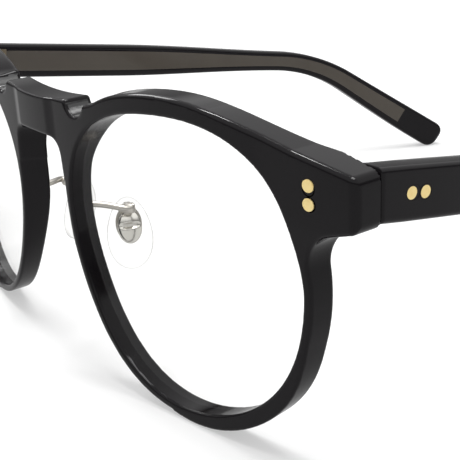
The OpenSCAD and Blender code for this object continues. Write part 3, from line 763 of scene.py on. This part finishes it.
def boss_field(x, y, z):
    """The metal button on the pad's outer side, with the groove that its screw sits in."""
    k = np.sqrt((y / BUTTON_R[1]) ** 2 + ((z - BUTTON_AT[2]) / BUTTON_R[2]) ** 2
                + ((x - BUTTON_AT[0]) / BUTTON_R[0]) ** 2)
    groove = GROOVE_R - np.hypot(z - GROOVE_AT[1], x - GROOVE_AT[0])
    return both(both((k - 1) * BUTTON_R[0], BUTTON_CUT - x, BUTTON_EDGE), groove, GROOVE_EDGE)


# the wire's route: a cubic Bezier curve from the rim's back to the box, its inner points listed
root = np.array([EYE_X - float(rim_r(ROOT_A)), 0, ROOT_V])
root[1] = RADIUS - math.sqrt(RADIUS ** 2 - root[0] ** 2) + THICK
hold = pad_at + (SCREW_OUT + BOX_DEEP + HOLD_PAST) * pad_axes[0] + SCREW_UP * pad_axes[2]
way = [root - (0, 0.4, 0), root + (0, 2.6, -0.2), hold + 1.6 * pad_axes[0] - (0, 0.6, -0.1), hold]
route = [sum(q * c * (1 - t) ** (3 - i) * t ** i for i, (q, c) in enumerate(zip(way, (1, 3, 3, 1))))
         for t in np.linspace(0, 1, BENDS)]


def arm_field(u, y, v):
    """The wire from the rim, and the slotted box that holds the pad's lug."""
    p = np.stack([u, y, v], -1)
    wire = np.full(u.shape, FAR)
    for a, b in zip(route[:-1], route[1:]):
        along = np.clip((p - a) @ (b - a) / ((b - a) @ (b - a)), 0, 1)
        wire = np.minimum(wire, np.linalg.norm(p - a - along[..., None] * (b - a), axis=-1) - WIRE_R)
    q = (p - pad_at) @ pad_axes.T
    mid = SCREW_OUT + (BOX_DEEP + BOX_PAST - LUG_R) / 2
    half = (BOX_DEEP + BOX_PAST + LUG_R) / 2
    box = slab(q - (mid, 0, SCREW_UP), (half, BOX_HALF, LUG_R), BOX_EDGE)
    gap = np.maximum(np.abs(q[..., 1]) - SLOT_HALF, q[..., 0] - SCREW_OUT - BOX_DEEP)
    return both(either(wire, box, WIRE_FILLET), -gap, SLOT_EDGE)


pad_step = 0.17
# name, body, material, slot, what it stands for, its field and the box that holds it
for name, body, use, slot, stands, field, low, high in (
        ("pad_clear_skin", "pad", pad_clear, "clear_pad", "nose_pad",
         pad_field, (-1.6, -4.6, -7), (1.6, 4.6, 7)),
        ("pad_button", "pad", boss_steel, "pad_metal", None,
         boss_field, (0.8, -2.6, -2.4), (2.5, 2.6, 4.6)),
        ("pad_arm_skin", "front", pad_steel, "core_metal", "pad_arm",
         arm_field, (7, 3.5, -2.5), (18, 16, 5))):
    p, faces, normal = skin(field, low, high, pad_step)
    if body == "pad":  # its field is in the pad's own frame
        p, normal = p @ pad_axes + pad_at, normal @ pad_axes
    for side in ("right", "left"):
        if side == "left":
            flip = np.array([-1, 1, 1])
            p, faces, normal = p * flip, faces[:, ::-1], normal * flip
        rides = body if body == "front" else body + "_" + side
        put(name + "_" + side, front_to_row(p), faces, use, rides,
            [stands + "_" + side] if stands else (), turn_to_row(normal))

# ---------------------------------------------------------------- image points
W = H = 460
points = {
    "object_top_y": (20, 44.0), "object_bottom_y": (232, 430), "rim_top_y": (158, 89.1),
    "front_rivet_upper": (306.2, 187.0), "front_rivet_lower": (308.3, 205.4),
    "temple_rivet_front": (413.7, 194.5), "temple_rivet_rear": (427.4, 192.7),
    "near_opening_left": (93.1, 185), "near_opening_right": (301.0, 305), "near_opening_bottom": (242, 407.3),
    "rim_outer_right": (331.7, 300), "gap_left": (49.3, 175), "gap_right": (63.5, 175),
    "far_opening_edge": (20.8, 190), "cut_top": (378.2, 166), "cut_bottom": (379.8, 223.6),
    "far_temple_tip": (440.5, 130), "notch_floor": (71, 117), "pad_button": (129, 226.5)}
LONG = max(W, H)
LOOK_STEP, LOOK_STEPS = 0.008, 60  # metres between places tried along a ray that misses


def meet(x, y, tree):
    """Where the ray through a point of the image meets a piece, or the piece's nearest place to the ray."""
    d = Vector((x - W / 2 + cam_data.shift_x * LONG, H / 2 - y + cam_data.shift_y * LONG,
                -LONG * CAM_LENS / cam_data.sensor_width))
    d = (camera.matrix_world.to_3x3() @ d).normalized()
    hit = tree.ray_cast(CAM_AT, d)
    if hit[0] is not None:
        return hit[0], hit[1]
    near = []
    for k in range(1, LOOK_STEPS):
        at = CAM_AT + d * (LOOK_STEP * k)
        place = tree.find_nearest(at)
        near.append(((place[0] - at).length, place[0], place[1]))
    return min(near, key=lambda n: n[0])[1:]


def tree_of(obj):
    """A piece's finished mesh, to send rays at."""
    m = obj.data
    return BVHTree.FromPolygons([v.co[:] for v in m.vertices], [list(f.vertices) for f in m.polygons])


# dark seat around each rivet's head, on the skin that carries it: a low ring of radii and heights
SEAT_IN, SEAT_OUT, SEAT_BEVEL, SEAT_N = 0.86 * MM, 1.06 * MM, 0.05 * MM, 40
SEAT_UP, SEAT_DOWN = 0.035 * MM, -0.03 * MM
SEAT_RING = ((SEAT_IN, 0.0), (SEAT_IN + SEAT_BEVEL, SEAT_UP),
             (SEAT_OUT - SEAT_BEVEL, SEAT_UP), (SEAT_OUT, SEAT_DOWN))
HEAD_REACH, LOOK_FROM = 1.6 * MM, 2 * MM
for where, carrier, rivets in (
        ("front", "front", ("front_rivet_upper", "front_rivet_lower")),
        ("temple", "temple_skin_right", ("temple_rivet_front", "temple_rivet_rear"))):
    tree = tree_of(bpy.data.objects[carrier])
    heads = np.array([v.co[:] for v in nodes[where + "_rivets_right"].data.vertices])
    verts, faces = [], []
    for name in rivets:
        at, face_out = meet(*points[name], tree)
        # the seat keeps the middle of the CAD rivet that the point falls on
        own = heads[np.linalg.norm(heads - np.array(at), axis=1) < HEAD_REACH]
        flat = own - np.outer((own - np.array(at)) @ np.array(face_out), np.array(face_out))
        centre = Vector(((flat.max(0) + flat.min(0)) / 2).tolist())
        a1 = face_out.orthogonal().normalized()
        a2 = face_out.cross(a1)
        first = len(verts)
        for k in range(SEAT_N):
            w = 2 * math.pi * k / SEAT_N
            out = a1 * math.cos(w) + a2 * math.sin(w)
            for r, lift in SEAT_RING:
                q = centre + out * r
                base = tree.ray_cast(q + face_out * LOOK_FROM, -face_out)[0]
                base = q if base is None else base
                verts.append(tuple((base + face_out * lift) / MM))
        for k in range(SEAT_N):
            for j in range(len(SEAT_RING) - 1):
                a = first + len(SEAT_RING) * k + j
                b = first + len(SEAT_RING) * ((k + 1) % SEAT_N) + j
                faces.append((a, a + 1, b + 1, b))
    for side in ("right", "left"):
        if side == "left":
            verts, faces = mirrored(np.array(verts), faces)
        rides = "front" if where == "front" else "temple_" + side
        put(where + "_rivet_seats_" + side, verts, faces, seat, rides)


# ---------------------------------------------------------------- how far each thing shows from its point
bpy.context.view_layer.update()
shown_trees = [tree_of(bpy.data.objects[n]) for n in ("front", "temple_skin_right", "temple_skin_left")]
view_in = np.array(camera.matrix_world.inverted())
SCALE = CAM_LENS / cam_data.sensor_width * LONG
SKIN_DEEP = 0.6 * MM  # a vertex shows if nothing is further in front of it than this
BAND = 4  # pixels to each side of a point's own column or row


def seen(name, keep=None):
    """Image places of a piece's finished vertices that show, and that keep, given them in mm, says."""
    p = np.array([v.co[:] for v in bpy.data.objects[name].data.vertices])
    if keep is not None:
        p = p[keep(p / MM)]
    q = p @ view_in[:3, :3].T + view_in[:3, 3]
    at = np.stack([W / 2 - SCALE * q[:, 0] / q[:, 2], H / 2 + SCALE * q[:, 1] / q[:, 2]], 1)
    in_frame = (at > 0).all(1) & (at[:, 0] < W) & (at[:, 1] < H)
    at, p = at[in_frame], p[in_frame]
    show = []
    for place in p:
        d = Vector(place) - CAM_AT
        hits = [t.ray_cast(CAM_AT, d.normalized())[3] for t in shown_trees]
        show.append(all(h is None or h > d.length - SKIN_DEEP for h in hits))
    return at[np.array(show, bool)]


def edge(name, at, axis, pick):
    """Works out the distance, across an edge, from its point, and gives nothing back."""
    along = at[np.abs(at[:, 1 - axis] - points[name][1 - axis]) < BAND, axis]
    {"xy"[axis]: round(float(pick(along) - points[name][axis]), 2)} if len(along) else None


def across(low, high):
    """Keeps what lies between two distances across the front."""
    return lambda p: (p[:, 0] > low) & (p[:, 0] < high)


# mm from the middle: where a rim begins, as far as its inner flank goes, and where its outer end begins
NEAR_RIM, FLANK, NEAR_END, INNER_EDGE = 13, 20, 48, (5, 25)
# mm from the lens centre's height down to the low rim, and up to the notch
LOW_RIM, NOTCH_OVER, NOTCH_HALF, NOTCH_DEEP = 15, 18, 1.2, 0.6
CUT_NEAR, CUT_OUT = 0.7, 3  # the temple's front rings, on their outer side
HEAD_DEEP = 0.35  # only a rivet's outermost part is its visible head
right = seen("front", across(NEAR_RIM, HALF_W))
near_end = seen("front", across(NEAR_END, np.inf))
far_flank = seen("front", across(-FLANK, 0))
far_temple = seen("temple_skin_left")
edge("object_top_y", far_temple, 1, np.min)
edge("object_bottom_y", right, 1, np.max)
edge("rim_top_y", right, 1, np.min)
edge("near_opening_left", seen("front", across(*INNER_EDGE)), 0, np.max)
edge("near_opening_right", near_end, 0, np.min)
low_rim = seen("front", lambda p: (p[:, 0] > NEAR_RIM) & (p[:, 2] < EYE_Z - LOW_RIM))
edge("near_opening_bottom", low_rim, 1, np.min)
edge("rim_outer_right", near_end, 0, np.max)
edge("gap_left", far_flank, 0, np.max)
edge("gap_right", seen("front", across(0, FLANK)), 0, np.min)
edge("far_opening_edge", far_flank, 0, np.min)
edge("far_temple_tip", far_temple, 0, np.max)
heads_z = np.mean([v.co.z for v in nodes["front_rivets_right"].data.vertices]) / MM
for name, half in (("front_rivet_upper", 1), ("front_rivet_lower", -1)):
    seen("front_rivets_right", lambda p: (
        ((p[:, 2] - heads_z) * half > 0) & (p[:, 1] < p[:, 1].min() + HEAD_DEEP)))
heads_y = np.mean([v.co.y for v in nodes["temple_rivets_right"].data.vertices]) / MM
for name, half in (("temple_rivet_front", -1), ("temple_rivet_rear", 1)):
    seen("temple_rivets_right", lambda p: (
        ((p[:, 1] - heads_y) * half > 0) & (p[:, 0] > p[:, 0].max() - HEAD_DEEP)))
first_ring = seen("temple_skin_right", lambda p: (
    (p[:, 1] < p[:, 1].min() + CUT_NEAR) & (p[:, 0] > AXIS_X + CUT_OUT)))
first_ring[first_ring[:, 1].argmin()]
first_ring[first_ring[:, 1].argmax()]
notch = seen("front", lambda p: (
    (np.abs(p[:, 0] - NOTCH_X) < NOTCH_HALF) & (p[:, 2] > EYE_Z + NOTCH_OVER)
    & (p[:, 1] < ORIGIN_Y + NOTCH_DEEP)))
seen("pad_button_right")

# ---------------------------------------------------------------- stage
FLOOR_Z = -0.00062  # under the rims and temple tips as they are dressed
FLOOR_GLOW, FLOOR_GLOW_GLOSSY, FLOOR_DIMMER = 0.45, 0.35, -0.48
SKY, WHITE = 0.55, 1.0
GLOSS_SKY = ((0.004, 0.0), (0.02, 0.76), (0.30, 0.74), (0.45, 0.0))  # height, and what is taken off there


def background_rays(tree):
    """1 for camera, glossy and transmission rays, which see the white, and 1 for glossy rays alone."""
    path = tree.nodes.new("ShaderNodeLightPath")
    glossy = path.outputs["Is Glossy Ray"]
    straight = reckon(tree, "MAXIMUM", path.outputs["Is Camera Ray"], glossy)
    return reckon(tree, "MAXIMUM", straight, path.outputs["Is Transmission Ray"]), glossy


def stage_floor():
    """A pale table. In a gloss it is a step darker than the white that the camera sees."""
    bpy.ops.mesh.primitive_plane_add(size=6, location=(0, 0, FLOOR_Z))
    floor = bpy.context.object
    floor.name = "floor"
    m, tree, bsdf = material("floor", Roughness=0.9, Specular_IOR_Level=0.0)
    bsdf.inputs["Base Color"].default_value = (0.86, 0.86, 0.86, 1)
    glow = tree.nodes.new("ShaderNodeEmission")
    glow.inputs["Color"].default_value = (1, 1, 1, 1)
    white, glossy = background_rays(tree)
    tree.links.new(reckon(tree, "MULTIPLY_ADD", glossy, FLOOR_DIMMER, 1.0), glow.inputs["Strength"])
    share = reckon(tree, "MULTIPLY", white, FLOOR_GLOW)
    share = reckon(tree, "MULTIPLY_ADD", glossy, FLOOR_GLOW_GLOSSY, share)
    tree.links.new(share, mixed(tree, bsdf.outputs["BSDF"], glow.outputs["Emission"], "Material Output"))
    floor.data.materials.append(m)


def stage_world():
    """Soft light, and a white in its place for the rays that see it. A gloss meets that dimmed, low down."""
    world = bpy.data.worlds.new("world")
    scene.world = world
    world.use_nodes = True
    tree = world.node_tree
    soft = tree.nodes["Background"]
    soft.inputs["Color"].default_value = (1, 1, 1, 1)
    soft.inputs["Strength"].default_value = SKY
    white = tree.nodes.new("ShaderNodeBackground")
    white.inputs["Color"].default_value = (1, 1, 1, 1)
    where = tree.nodes.new("ShaderNodeTexCoord")
    parts = tree.nodes.new("ShaderNodeSeparateXYZ")
    tree.links.new(where.outputs["Generated"], parts.inputs["Vector"])
    ramp = tree.nodes.new("ShaderNodeValToRGB")
    for at, dim in GLOSS_SKY:
        stop = ramp.color_ramp.elements.new(at)
        stop.color = (dim, dim, dim, 1)
    for end in (-1, 0):
        ramp.color_ramp.elements[end].color = (0, 0, 0, 1)
    tree.links.new(parts.outputs["Z"], ramp.inputs["Fac"])
    rays, glossy = background_rays(tree)
    dimmed = reckon(tree, "MULTIPLY", ramp.outputs["Color"], glossy)
    tree.links.new(reckon(tree, "SUBTRACT", WHITE, dimmed), white.inputs["Strength"])
    share = mixed(tree, soft.outputs["Background"], white.outputs["Background"], "World Output")
    tree.links.new(rays, share)


def lamp(name, at, aim, size, power):
    """A square soft light."""
    data = bpy.data.lights.new(name, "AREA")
    data.size = size
    data.energy = power
    obj = bpy.data.objects.new(name, data)
    obj.location = at
    obj.rotation_euler = (Vector(aim) - Vector(at)).to_track_quat("-Z", "Y").to_euler()
    scene.collection.objects.link(obj)


stage_floor()
stage_world()
lamp("key", (0.08, 0.0, 0.95), (0, -0.02, 0), 0.5, 7.5)
lamp("edge", (-0.36, -0.07, 0.95), (0.05, -0.07, 0.045), 0.1, 1.6)
lamp("side", (-0.68, -0.08, 0.63), (0, -0.05, 0.03), 0.3, 2.5)
scene.view_settings.view_transform = "Standard"
